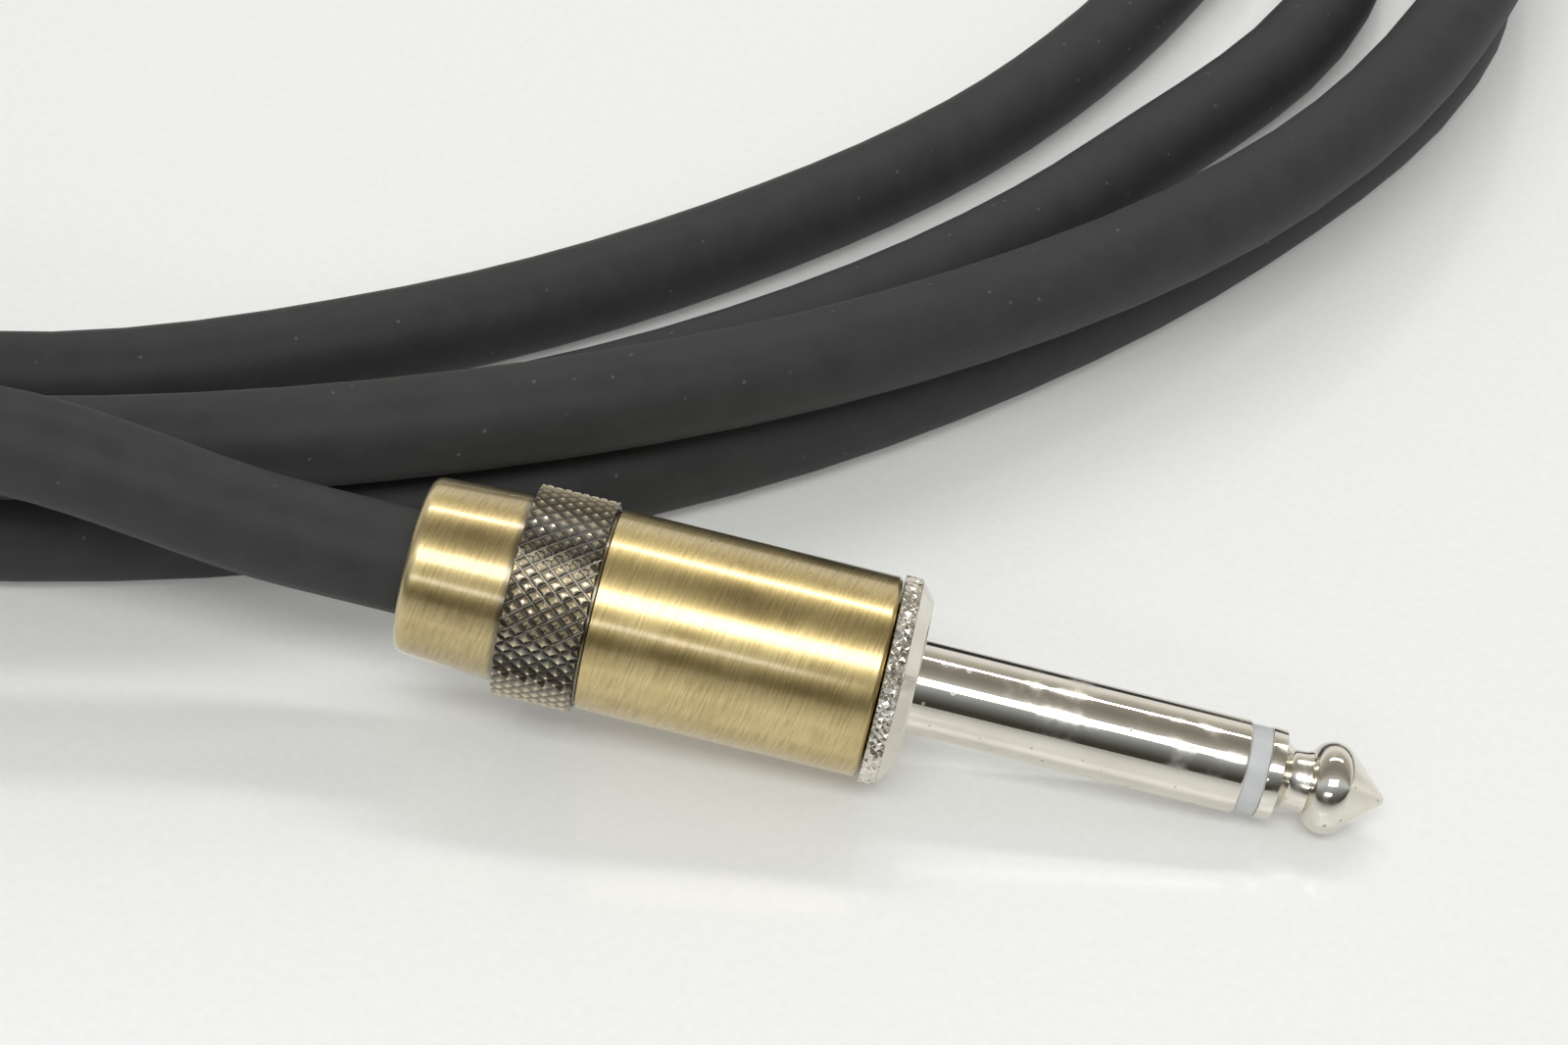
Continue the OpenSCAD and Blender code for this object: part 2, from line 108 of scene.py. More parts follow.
table_mesh = bpy.data.meshes.new("table")
table_mesh.from_pydata([(-table_half, -table_half, 0), (table_half, -table_half, 0),
                        (table_half, table_half, 0), (-table_half, table_half, 0)], [], [(0, 1, 2, 3)])
table = bpy.data.objects.new("table", table_mesh)
bpy.context.scene.collection.objects.link(table)
table_skin, tree, skin, place = new_finish("pale_table")
skin.inputs["Roughness"].default_value = 0.16
# Painted glow: the sheet gives off a little light of its own, which lightens the shadows on it.
skin.inputs["Emission Color"].default_value = (1, 1, 0.97, 1)
skin.inputs["Emission Strength"].default_value = table_painted_glow
grain = added(tree, "TexNoise", {"Vector": place, "Scale": 1500, "Detail": 2}).outputs["Fac"]
tree.links.new(graded(tree, grain, list(zip((0.3, 0.7), table_tones))), skin.inputs["Base Color"])
ripple = added(tree, "TexNoise", {"Vector": place, "Scale": 260, "Detail": 4})
relief = added(tree, "Bump", {"Height": ripple.outputs["Fac"], "Strength": 0.02, "Distance": 0.6 * mm})
tree.links.new(relief.outputs["Normal"], skin.inputs["Normal"])
table_mesh.materials.append(table_skin)


# Studio: three long soft lamps, one high on the far side, one high on the camera's side and one low there.
# The room is grey overhead, pale on the far side above a dark foot, and dark on the camera's side.
# Its greys go from the near horizon over the top to the far one, and the camera itself sees it pale.
lamp_distance = 0.9
lamps = (("far_lamp", 121, 0.8, 0.07, 0.05, 1.9), ("near_lamp", 57.5, 0.7, 0.25, 0.05, 3.1),
         ("low_lamp", 28, 0.58, 0.07, -0.21, 0.65))
room_pale = (0.83, 0.84, 0.82, 1)
room_fill = (0.44, 0.442, 0.44, 1)
warm, even, cool = (1, 0.95, 0.84), (1, 0.99, 0.96), (0.94, 0.99, 1.03)
room_stops = ((0, 0.05, warm), (0.06, 0.06, warm), (0.11, 0.12, warm), (0.17, 0.22, cool),
              (0.24, 0.42, cool), (0.30, 0.66, cool), (0.37, 0.62, even), (0.44, 0.36, warm),
              (0.52, 0.26, warm), (0.58, 0.28, warm), (0.64, 0.36, warm), (0.74, 0.46, warm),
              (0.80, 0.62, warm), (0.85, 0.88, even), (0.944, 0.95, even), (0.953, 0.1, warm),
              (1, 0.07, warm))

for lamp_name, angle, length, depth, sideways, power in lamps:
    lamp_data = bpy.data.lights.new(lamp_name, "AREA")
    lamp_data.shape = "RECTANGLE"
    lamp_data.size = length
    lamp_data.size_y = depth
    lamp_data.energy = power
    lamp = bpy.data.objects.new(lamp_name, lamp_data)
    up, back = math.sin(math.radians(angle)), -math.cos(math.radians(angle))
    lamp.location = (sideways, lamp_distance * back, lamp_distance * up)
    lamp.rotation_euler = (math.radians(90 - angle), 0, 0)
    bpy.context.scene.collection.objects.link(lamp)

room = bpy.data.worlds.new("studio_room")
bpy.context.scene.world = room
room.use_nodes = True
tree = room.node_tree
look = added(tree, "SeparateXYZ", {"Vector": added(tree, "TexCoord").outputs["Generated"]})
nearward = added(tree, "Math", {0: look.outputs["Y"], 1: -1}, operation="MULTIPLY")
arch = added(tree, "Math", {0: look.outputs["Z"], 1: nearward.outputs["Value"]}, operation="ARCTAN2")
share = added(tree, "Math", {0: arch.outputs["Value"], 1: math.pi}, operation="DIVIDE")
walls = graded(tree, share.outputs["Value"],
               [(stop, [grey * part for part in tint]) for stop, grey, tint in room_stops])
rays = added(tree, "LightPath")
filled = added(tree, "Mix", {"Factor": rays.outputs["Is Glossy Ray"], "A": room_fill, "B": walls},
               data_type="RGBA").outputs["Result"]
seen = added(tree, "Mix", {"Factor": rays.outputs["Is Camera Ray"], "A": filled, "B": room_pale},
             data_type="RGBA").outputs["Result"]
tree.links.new(seen, tree.nodes["Background"].inputs["Color"])


# Cable: one length of instrument cable, matte charcoal rubber over a braided shield, laid as a hand coil.
# It leaves the front plug, climbs on to the coil, goes round it clockwise from the outside in,
# and ends in the far plug, which lies inside the far arc.
plug_rear = -32
jacket_end = -18.9
straight_end = -40
front_at = Vector((-0.755395, 0, 7.19672))
front_tilt = 7.68842
far_turn = 26
cable_d = 7.2
pitch = cable_d + 0.5
near_r, side_r = 122, 66
near_c = Vector((-86.2, 126.1, 0))
turn_out, turn_in = -82, -14
turn_span = turn_in - turn_out
turns = 4
coil_end = 360 * turns + 90
near_at = (292, 309, 326, 343, 360)
near_lay = ((0.73, 0.7, 0.36, 0.06, 0.03), (0.52, 0.16, 0, 0, 0),
            (-1, -1.38, -1.3, -1.12, -1.06), (-2.82, -2.95, -2.94, -2.64, -2.23))
lane_at = (60, 72, 150, 250)
lane_lay, tail_lay = 1.01, 0.6
lead_at, lead_lay, lead_layers, lead_rise = (-24, 24), (1.01, 0.51), (1.87, 2.04), 0.32
lead_down, climb, drop = 130, (225, 288), (380, 480)
far_at, far_in, band_r = 116, 41, 7.2
plug_middle = 1.1
straight_parts, lead_parts, tail_parts, coil_step = 8, 10, 14, 3

marks = list(zip(lead_at, lead_lay))
for i in range(turns + 1):
    for j, angle in enumerate(lane_at):
        marks.append((360 * i + angle, lane_lay * (1 - i) - (tail_lay if i == turns and j > 1 else 0)))
    if i < turns:
        marks += [(360 * i + angle, lay) for angle, lay in zip(near_at, near_lay[i])]


def outward(angle):
    return Vector((math.cos(math.radians(angle)), math.sin(math.radians(angle)), 0))


def eased(a, b, x):
    u = min(1, max(0, (x - a) / (b - a)))
    return u * u * (3 - 2 * u)


def blended(p, m, q, n, u):
    v, w = u * u, u * u * u
    return (2 * w - 3 * v + 1) * p + (w - 2 * v + u) * m + (3 * v - 2 * w) * q + (w - v) * n


def mark_slope(j):
    if j <= 0 or j >= len(marks) - 1:
        return 0
    before, after = marks[j][1] - marks[j - 1][1], marks[j + 1][1] - marks[j][1]
    return 0 if before * after <= 0 else (before + after) / (marks[j + 1][0] - marks[j - 1][0])


def coil_point(t):
    j = min(sum(1 for angle, lay in marks if angle <= t) - 1, len(marks) - 2)
    h = marks[j + 1][0] - marks[j][0]
    lay = pitch * blended(marks[j][1], mark_slope(j) * h, marks[j + 1][1], mark_slope(j + 1) * h,
                          (t - marks[j][0]) / h)
    if t < lead_at[1]:
        layer = blended(lead_layers[0], lead_rise, lead_layers[1], 0, t / lead_at[1])
    else:
        layer = lead_layers[1] * (1 - eased(lead_at[1], lead_down, t)) + eased(*climb, t) - eased(*drop, t)
    m = 360 - t % 360
    k = 0 if m <= turn_span else 1 if m <= 180 else 2 if m <= 180 + turn_span else 3
    centre = (near_c, right_c, far_c, left_c)[k]
    return centre + ((near_r, side_r)[k % 2] + lay) * outward(turn_out - t) + Vector(
        (0, 0, cable_d / 2 + pitch * layer))


def free_points(p, m, q, n, count):
    k = (q - p).length
    return [blended(p, k * m, q, k * n, i / count) for i in range(1, count)]


right_c = near_c + (near_r - side_r) * outward(turn_in)
left_c = near_c + (near_r - side_r) * outward(turn_out)
far_c = right_c + left_c - near_c
front_dir = Vector((math.cos(math.radians(front_tilt)), 0, -math.sin(math.radians(front_tilt))))
far_dir = Vector((math.cos(math.radians(far_turn)), math.sin(math.radians(far_turn)), 0))
far_pos = far_c + (near_r - far_in) * outward(far_at) - plug_middle * far_dir + Vector((0, 0, band_r))
start_dir = (coil_point(1) - coil_point(0)).normalized()
stop_dir = (coil_point(coil_end) - coil_point(coil_end - 1)) * Vector((1, 1, 0))
stop_dir.normalize()
coil_first = coil_point(0) - cable_d * start_dir
coil_last = coil_point(coil_end) + cable_d * stop_dir
lead_from = front_at + straight_end * front_dir
tail_to = far_pos + straight_end * far_dir
straight = [jacket_end + i * (straight_end - jacket_end) / straight_parts for i in range(straight_parts + 1)]
route = [front_at + z * front_dir for z in straight]
route += free_points(lead_from, -front_dir, coil_first, start_dir, lead_parts)
route += [coil_first, coil_first + cable_d / 2 * start_dir]
route += [coil_point(t) for t in range(0, coil_end + 1, coil_step)]
route += [coil_last - cable_d / 2 * stop_dir, coil_last]
route += free_points(coil_last, stop_dir, tail_to, far_dir, tail_parts)
route += [far_pos + z * far_dir for z in reversed(straight)]

line = bpy.data.curves.new("cable", "CURVE")
line.dimensions = "3D"
line.bevel_depth = cable_d / 2 * mm
line.bevel_resolution = 7
line.use_fill_caps = True
run = line.splines.new("POLY")
run.points.add(len(route) - 1)
for point, stop in zip(run.points, route):
    point.co = (*(stop * mm), 1)
run.use_smooth = True
cable = bpy.data.objects.new("cable", line)
bpy.context.scene.collection.objects.link(cable)

rubber, tree, skin, place = new_finish("charcoal_rubber")
skin.inputs["Specular IOR Level"].default_value = 0.22
blotch = added(tree, "TexNoise", {"Vector": place, "Scale": 320, "Detail": 5,
                                  "Roughness": 0.65}).outputs["Fac"]
tone = graded(tree, blotch, ((0.3, (0.034, 0.034, 0.0345)), (0.75, (0.047, 0.047, 0.0475))))
grip = added(tree, "MapRange", {"Value": blotch, "To Min": 0.50, "To Max": 0.66})
specks = added(tree, "TexVoronoi", {"Vector": place, "Scale": 420})
dust = added(tree, "MapRange", {"Value": specks.outputs["Distance"], "From Min": 0.035, "From Max": 0.075,
                                "To Min": 0.55, "To Max": 0})
dusty = added(tree, "Mix", {"Factor": dust.outputs["Result"], "A": tone, "B": (0.16, 0.155, 0.15, 1)},
              data_type="RGBA")
grain = added(tree, "TexNoise", {"Vector": place, "Scale": 2600, "Detail": 3})
relief = added(tree, "Bump", {"Height": grain.outputs["Fac"], "Strength": 0.35, "Distance": 0.06 * mm})
tree.links.new(dusty.outputs["Result"], skin.inputs["Base Color"])
tree.links.new(grip.outputs["Result"], skin.inputs["Roughness"])
tree.links.new(relief.outputs["Normal"], skin.inputs["Normal"])
line.materials.append(rubber)
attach(cable, "plug_and_cable")
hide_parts("cable_end_a", "cable_lead", "cable_coil", "cable_tail", "cable_end_b")


# Core insulation: the white plastic round the cable's conductor, bared for a short way ahead of the jacket.
# It is extruded with the cable and cut square with a blade, and both plugs have the same.
core_r, core_hole_r = 1.5, 0.46
core_end = -17.2
cut_edge = 0.08

front_seat = Matrix.Translation(front_at * mm) @ Matrix.Rotation(math.radians(90 + front_tilt), 4, "Y")
far_seat = (Matrix.Translation(far_pos * mm) @ Matrix.Rotation(math.radians(far_turn), 4, "Z")
            @ Matrix.Rotation(math.radians(90), 4, "Y"))


def softened(corners, soft, parts=4):
    outline = []
    for i, (r, z, *own) in enumerate(corners):
        here, reach = Vector((r, z)), own[0] if own else soft
        to_last = Vector(corners[i - 1][:2]) - here
        to_next = Vector(corners[(i + 1) % len(corners)][:2]) - here
        reach = min(reach, 0.45 * to_last.length, 0.45 * to_next.length)
        if reach == 0:
            outline.append(here)
            continue
        a, b = here + reach * to_last.normalized(), here + reach * to_next.normalized()
        for u in (k / parts for k in range(parts + 1)):
            outline.append((1 - u) ** 2 * a + 2 * u * (1 - u) * here + u * u * b)
    return outline


def spun(r, angle, z):
    return r * math.cos(angle), r * math.sin(angle), z


def turned(mesh, outline, sides=96):
    rings = []
    for r, z in outline:
        count = sides if r > 1e-6 else 1
        rings.append([mesh.verts.new(spun(r, 2 * math.pi * k / sides, z)) for k in range(count)])
    for a, b in zip(rings, rings[1:] + rings[:1]):
        if len(a) == len(b) == 1:
            continue
        for k in range(sides):
            n = (k + 1) % sides
            corners = [a[k % len(a)], a[n % len(a)], b[n % len(b)], b[k % len(b)]]
            mesh.faces.new(list(dict.fromkeys(corners)))


def shaped(name, mesh, sharp=32):
    bmesh.ops.recalc_face_normals(mesh, faces=mesh.faces)
    bmesh.ops.scale(mesh, vec=(mm, mm, mm), verts=mesh.verts)
    for face in mesh.faces:
        face.smooth = True
    made = bpy.data.meshes.new(name)
    mesh.to_mesh(made)
    mesh.free()
    made.set_sharp_from_angle(angle=math.radians(sharp))
    return made


def fitted(name, made, finish, node, body=None):
    made.materials.append(finish)
    for end, seat in (("a", front_seat), ("b", far_seat)):
        piece = bpy.data.objects.new(f"{name}_{end}", made)
        piece.matrix_world = seat
        bpy.context.scene.collection.objects.link(piece)
        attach(piece, f"{body}_{end}" if body else "plug_and_cable")
        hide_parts(f"{node}_{end}")


def mottled(name, tones, grain, detail, gloss, relief=0, depth=0, metallic=0):
    finish, tree, skin, place = new_finish(name)
    if isinstance(grain, tuple):
        place = added(tree, "Mapping", {"Vector": place, "Scale": grain}).outputs["Vector"]
        grain = 1
    mottle = added(tree, "TexNoise", {"Vector": place, "Scale": grain, "Detail": detail}).outputs["Fac"]
    polish = added(tree, "MapRange", {"Value": mottle, "To Min": gloss[0], "To Max": gloss[1]})
    skin.inputs["Metallic"].default_value = metallic
    tree.links.new(graded(tree, mottle, tones), skin.inputs["Base Color"])
    tree.links.new(polish.outputs["Result"], skin.inputs["Roughness"])
    if relief:
        bump = added(tree, "Bump", {"Height": mottle, "Strength": relief, "Distance": depth * mm})
        tree.links.new(bump.outputs["Normal"], skin.inputs["Normal"])
    return finish


milky = mottled("milky_plastic", ((0.3, (0.70, 0.69, 0.62)), (0.7, (0.82, 0.81, 0.76))),
                grain=900, detail=4, gloss=(0.32, 0.5), relief=0.2, depth=0.05)
skin = milky.node_tree.nodes["Principled BSDF"]
skin.inputs["Subsurface Weight"].default_value = 0.2
skin.inputs["Subsurface Scale"].default_value = 0.6 * mm

core = bmesh.new()
turned(core, softened([(core_hole_r, jacket_end), (core_r, jacket_end), (core_r, core_end),
                       (core_hole_r, core_end)], cut_edge), sides=48)
fitted("core_insulation", shaped("core_insulation", core), milky, "dielectric")


# Conductor: seven bare copper strands twisted together, from the core insulation to the tip's solder lug.
# They are bent up to the lug's tab and lie along it under the solder.
strand_count, strand_r, strand_lay, strand_twist = 7, 0.15, 0.3, 5
conductor_stops = ((0, 0, core_end), (0, 0, -16.6), (0, 1.5, -15.1), (0, 1.5, -12.5))


def lofted(mesh, rings):
    for a, b in zip(rings, rings[1:]):
        for k in range(len(a)):
            n = (k + 1) % len(a)
            mesh.faces.new((a[k], a[n], b[n], b[k]))
    mesh.faces.new(rings[0])
    mesh.faces.new(rings[-1])


def twisted(mesh, stops, count, strand_r, lay_r, twist, sides=8):
    stops = [Vector(stop) for stop in stops]
    path = [stops[0]]
    for a, b, c in zip(stops, stops[1:], stops[2:]):
        p, q = a.lerp(b, 0.55), b.lerp(c, 0.45)
        path += [p.lerp(b, u).lerp(b.lerp(q, u), u) for u in (k / 8 for k in range(9))]
    path += [stops[-1].lerp(stops[-2], u) for u in (0.3, 0.15, 0)]
    walked = 0
    strands = [[] for k in range(count)]
    for i, here in enumerate(path):
        along = (path[min(i + 1, len(path) - 1)] - path[max(i - 1, 0)]).normalized()
        walked += (here - path[i - 1]).length if i else 0
        side = Vector((1, 0, 0))
        up = along.cross(side)
        for k, strand in enumerate(strands):
            a = 2 * math.pi * (k / max(count - 1, 1) + walked / twist)
            out = lay_r if k < count - 1 else 0
            strand.append((here + out * (math.cos(a) * side + math.sin(a) * up), side, up))
    corners = [spun(strand_r, 2 * math.pi * k / sides, 0) for k in range(sides)]
    for strand in strands:
        lofted(mesh, [[mesh.verts.new(here + x * side + y * up) for x, y, z in corners]
                      for here, side, up in strand])


copper = mottled("bare_copper", ((0.3, (0.50, 0.20, 0.10)), (0.65, (0.80, 0.40, 0.24))),
                 grain=1400, detail=4, gloss=(0.42, 0.22), metallic=1)

conductor = bmesh.new()
twisted(conductor, conductor_stops, strand_count, strand_r, strand_lay, strand_twist)
fitted("copper_strands", shaped("copper_strands", conductor), copper, "conductor")


# Shield tail: the cable's braid, combed out and twisted to one thick pigtail beside the core insulation.
# It is the same copper, and lies along the clamp's strap under the solder.
tail_count, tail_strand_r, tail_lay_r, tail_twist = 8, 0.19, 0.4, 6
tail_stops = ((0, -2.3, jacket_end), (0, -2.3, -18.3), (0, -3.25, -16.875), (0, -3.25, -12))

tail = bmesh.new()
twisted(tail, tail_stops, tail_count, tail_strand_r, tail_lay_r, tail_twist)
fitted("shield_pigtail", shaped("shield_pigtail", tail), copper, "shield_tail")


# Sleeve and flange: the plug's sleeve contact, bevelled flange, knurled rim, shell thread and neck.
# They are turned from one bar and plated with bright nickel; the rim's diamonds are rolled in.
bore_r, hub_r, hub_end = 2.325, 3, -8.9
boss_r, boss_end, boss_edge = 4.7, -6.4, -6.05
thread_root, thread_crest, thread_pitch = 5.05, 5.5, 0.8
thread_from, thread_turns, thread_bar = -6, 7, (0.15, 0.42, 0.1)
rim_r, rim_w, rim_cut, rim_diamonds, rim_rows = 7.1, 1.2, 0.16, 80, 4
rim_back_r, rim_base_r, rim_inner_r, rim_gap = 6.75, 6.87, 6.7, 0.02
rim_base_from, rim_base_to = 0.08, rim_w - 0.06
rim_flat, rim_edge, rim_wear = 0.2, 0.05, 0.12
rolled_from, rolled_to, rolled_gloss = 6.9, 6.96, 0.2
shoulder_r, shoulder_z = 5.85, 2.2
bevel_r, bevel_rings, ring_cut = 7.0, 5, 0.03
sleeve_r, sleeve_end = 3.175, 24.6
turned_edge = 0.06


def diamonds(mesh, r, depth, inner_r, z0, z1, around, rows, flat, edge, uneven):
    valley, step, row = r - depth, math.pi / around, (z1 - z0) / rows
    wear = random.Random(around)

    def stand(radius, j, z):
        return mesh.verts.new(spun(radius, j * step, z))

    crossing = {(k, j): stand(valley, j, z0 + k * row)
                for k in range(rows + 1) for j in range(k % 2, 2 * around, 2)}
    inside = {(k, j): stand(inner_r, j, z0 + k * row)
              for k in (0, rows) for j in range(k % 2, 2 * around, 2)}
    for k in range(rows + 1):
        for j in range((k + 1) % 2, 2 * around, 2):
            spots = [(-1, 0)] + [(0, -1)] * (k > 0) + [(1, 0)] + [(0, 1)] * (k < rows)
            lift = edge * ((k == 0) - (k == rows))
            base = [crossing[k + b, (j + a) % (2 * around)] for a, b in spots]
            top = [stand(r - wear.uniform(0, uneven), j + flat * a + wear.uniform(-uneven, uneven),
                         z0 + k * row + (flat * row * b if b else lift)) for a, b in spots]
            for n in range(len(base)):
                p = (n + 1) % len(base)
                mesh.faces.new((base[n], base[p], top[p], top[n]))
            mesh.faces.new(top)
            if k in (0, rows):
                before, after = (j - 1) % (2 * around), (j + 1) % (2 * around)
                mesh.faces.new((crossing[k, before], crossing[k, after], inside[k, after], inside[k, before]))
    for j in range(0, 2 * around, 2):
        n, up = (j + 2) % (2 * around), rows % 2
        mesh.faces.new((inside[0, j], inside[0, n], inside[rows, n + up], inside[rows, j + up]))


def helical_ridge(mesh, root, crest, pitch, start, turns, bar, steps=72, run_out=18):
    sunk, foot, top = bar
    tall = crest - root
    section = (-sunk, -foot), (0, -foot), (tall, -top), (tall, top), (0, foot), (-sunk, foot)
    count, rings = turns * steps, []
    for i in range(count + 1):
        fade = min(1, i / run_out, (count - i) / run_out)
        rings.append([mesh.verts.new(spun(root + (out * fade if out > 0 else out), 2 * math.pi * i / steps,
                                          start + pitch * (i / steps + along))) for out, along in section])
    lofted(mesh, rings)


def from_axis(tree, place):
    across = added(tree, "VectorMath", {0: place, 1: (1, 1, 0)}, operation="MULTIPLY")
    return added(tree, "VectorMath", {0: across.outputs["Vector"]}, operation="LENGTH").outputs["Value"]


nickel, tree, skin, place = new_finish("bright_nickel")
skin.inputs["Metallic"].default_value = 1
tool_lines = added(tree, "Mapping", {"Vector": place, "Scale": (40, 40, 7000)}).outputs["Vector"]
turning = added(tree, "TexNoise", {"Vector": tool_lines, "Scale": 1, "Detail": 3}).outputs["Fac"]
smudge = added(tree, "TexNoise", {"Vector": place, "Scale": 170, "Detail": 5,
                                  "Roughness": 0.6}).outputs["Fac"]
plate = graded(tree, smudge, ((0.35, (0.71, 0.675, 0.60)), (0.65, (0.80, 0.77, 0.69))))
pits = added(tree, "TexVoronoi", {"Vector": place, "Scale": 640}).outputs["Distance"]
pitted = added(tree, "MapRange", {"Value": pits, "From Min": 0.065, "From Max": 0.12,
                                  "To Min": 0.8, "To Max": 0}).outputs["Result"]
marked = added(tree, "Mix", {"Factor": pitted, "A": plate, "B": (0.5, 0.47, 0.42, 1)}, data_type="RGBA")
bright = added(tree, "MapRange", {"Value": smudge, "From Min": 0.5, "From Max": 0.68,
                                  "To Min": 0.035, "To Max": 0.4}).outputs["Result"]
polish = added(tree, "Math", {0: pitted, 1: 0.6, 2: bright}, operation="MULTIPLY_ADD").outputs["Value"]
pressed = added(tree, "MapRange", {"Value": from_axis(tree, place), "From Min": rolled_from * mm,
                                   "From Max": rolled_to * mm, "To Min": polish, "To Max": rolled_gloss})
relief = added(tree, "Bump", {"Height": turning, "Strength": 0.25, "Distance": 0.02 * mm})
tree.links.new(marked.outputs["Result"], skin.inputs["Base Color"])
tree.links.new(pressed.outputs["Result"], skin.inputs["Roughness"])
tree.links.new(relief.outputs["Normal"], skin.inputs["Normal"])

bevel = Vector((shoulder_r - bevel_r, shoulder_z - rim_w))
inward = Vector((-bevel.y, bevel.x)).normalized() * ring_cut
tool_marks = [Vector((bevel_r, rim_w)) + bevel * k / (2 * bevel_rings) + inward * (k % 2)
              for k in range(1, 2 * bevel_rings)]
bar = bmesh.new()
turned(bar, softened([(bore_r, hub_end), (hub_r, hub_end), (hub_r, boss_end), (boss_r, boss_end),
                      (thread_root, boss_edge), (thread_root, 0), (rim_back_r, 0),
                      (rim_base_r, rim_base_from), (rim_base_r, rim_base_to), (bevel_r, rim_w)]
                     + [(r, z, 0) for r, z in tool_marks]
                     + [(shoulder_r, shoulder_z, 0.12), (sleeve_r, shoulder_z, 0.1),
                        (sleeve_r, sleeve_end, 0.16), (bore_r, sleeve_end)], turned_edge), sides=128)
diamonds(bar, rim_r, rim_cut, rim_inner_r, rim_gap, rim_w - rim_gap, rim_diamonds, rim_rows,
         rim_flat, rim_edge, rim_wear)
helical_ridge(bar, thread_root, thread_crest, thread_pitch, thread_from, thread_turns, thread_bar)
fitted("sleeve_and_flange", shaped("sleeve_and_flange", bar), nickel, "plug_body")


# Sleeve lining: a white plastic tube pressed into the sleeve, which keeps the tip's rod off it.
# The grey ring covers its front end and the board washer its rear end, so none of it is seen.
lining_r, rod_hole_r = 2.305, 1.12

lining = bmesh.new()
turned(lining, softened([(rod_hole_r, hub_end), (lining_r, hub_end), (lining_r, sleeve_end),
                         (rod_hole_r, sleeve_end)], 0.1), sides=64)
fitted("sleeve_lining", shaped("sleeve_lining", lining), milky, "core_tube")


# Grey ring: a light grey moulded ring between sleeve and tip, a little below the sleeve's surface.
# It is held between the sleeve's end and the tip's collar.
ring_r, ring_end = 2.975, 26

moulding = mottled("grey_moulding", ((0.3, (0.53, 0.54, 0.545)), (0.7, (0.60, 0.61, 0.615))),
                   grain=700, detail=4, gloss=(0.34, 0.52), relief=0.2, depth=0.04)

ring = bmesh.new()
turned(ring, softened([(rod_hole_r, sleeve_end), (ring_r, sleeve_end), (ring_r, ring_end),
                       (rod_hole_r, ring_end)], 0.07), sides=96)
fitted("grey_ring", shaped("grey_ring", ring), moulding, "tip_ring")


# Tip contact: collar, groove, ball and blunt cone, with a long rod through the sleeve to a riveted head.
# It is turned from one bar, plated like the sleeve, and riveted over the solder lug.
collar_r, rod_r, head_r = 3.1, 1.1, 1.9
head_end, head_face = -11.2, -10.4
groove_z, groove_curve, groove_r = 28.25, 1.25, 3.2
ball_z, ball_curve, ball_r = 30.5, 1.6, 1.53
point_r, point_z = 0.25, 34.2
groove_ripple, collar_edge = 0.06, 0.05


def arc(first, last, steps):
    return [math.radians(first + k * (last - first) / steps) for k in range(steps + 1)]


outline = [(0, head_end, 0), (head_r, head_end, 0.45), (head_r, head_face, 0.05), (rod_r, head_face),
           (rod_r, ring_end), (collar_r, ring_end, 0.09)]
outline += [(groove_r + groove_curve * math.sin(a) + groove_ripple * math.sin(math.pi * k / 8) ** 2,
             groove_z + groove_curve * math.cos(a), collar_edge * (k == 0))
            for k, a in enumerate(arc(185, 300, 16))]
outline += [(ball_r + ball_curve * math.sin(a), ball_z + ball_curve * math.cos(a), 0)
            for a in arc(158, 45, 20)]
outline += [(point_r, point_z, 0.12), (0, point_z, 0)]
tip = bmesh.new()
turned(tip, softened(outline, 0.03), sides=96)
fitted("tip_contact", shaped("tip_contact", tip), nickel, "tip")


# Board washer: a brown phenolic washer behind the neck, under the tip's solder lug.
# It is punched from sheet, so its edge shows the layers.
washer_r, washer_end = 3.6, -9.9

board = mottled("brown_board", ((0.3, (0.13, 0.055, 0.022)), (0.7, (0.27, 0.13, 0.06))),
                grain=(900, 900, 6000), detail=5, gloss=(0.45, 0.65), relief=0.3, depth=0.05)

washer = bmesh.new()
turned(washer, softened([(rod_hole_r, washer_end), (washer_r, washer_end), (washer_r, hub_end),
                         (rod_hole_r, hub_end)], 0.06), sides=64)
fitted("board_washer", shaped("board_washer", washer), board, "rear_washer")


# Tip lug: a tinned brass stamping, a ring round the tip's rod with a tab bent back along the plug's axis.
# The riveted head holds its ring on the board washer, and the conductor is soldered to its tab.
lug_ring_r, lug_t, lug_w = 2.6, 0.5, 2.6
lug_end, tab_mid, tab_from, tab_half, tab_round, tab_lift = -16.9, 2.25, 1.7, -13, 1.1, 0.001
tab_least = 0.12
stamped_edge = 0.07


def bent_strip(mesh, path, widths, thick, edge):
    rings = []
    for i, (y, z) in enumerate(path):
        (y0, z0), (y1, z1) = path[max(i - 1, 0)], path[min(i + 1, len(path) - 1)]
        along = Vector((0, y1 - y0, z1 - z0)).normalized()
        face = along.cross(Vector((1, 0, 0)))
        w, t = widths[i] / 2, thick / 2
        e = min(edge, 0.8 * w)
        corners = ((-w, e - t), (e - w, -t), (w - e, -t), (w, e - t),
                   (w, t - e), (w - e, t), (e - w, t), (-w, t - e))
        rings.append([mesh.verts.new(Vector((x, y, z)) + up * face) for x, up in corners])
    lofted(mesh, rings)


def bend_over(y, z, r, side):
    return [(y + side * r * math.sin(a), z - r + r * math.cos(a)) for a in arc(0, 90, 6)]


tinned = mottled("tinned_brass", ((0.3, (0.56, 0.50, 0.36)), (0.65, (0.74, 0.70, 0.58))),
                 grain=1100, detail=5, gloss=(0.24, 0.42), relief=0.15, depth=0.04, metallic=1)

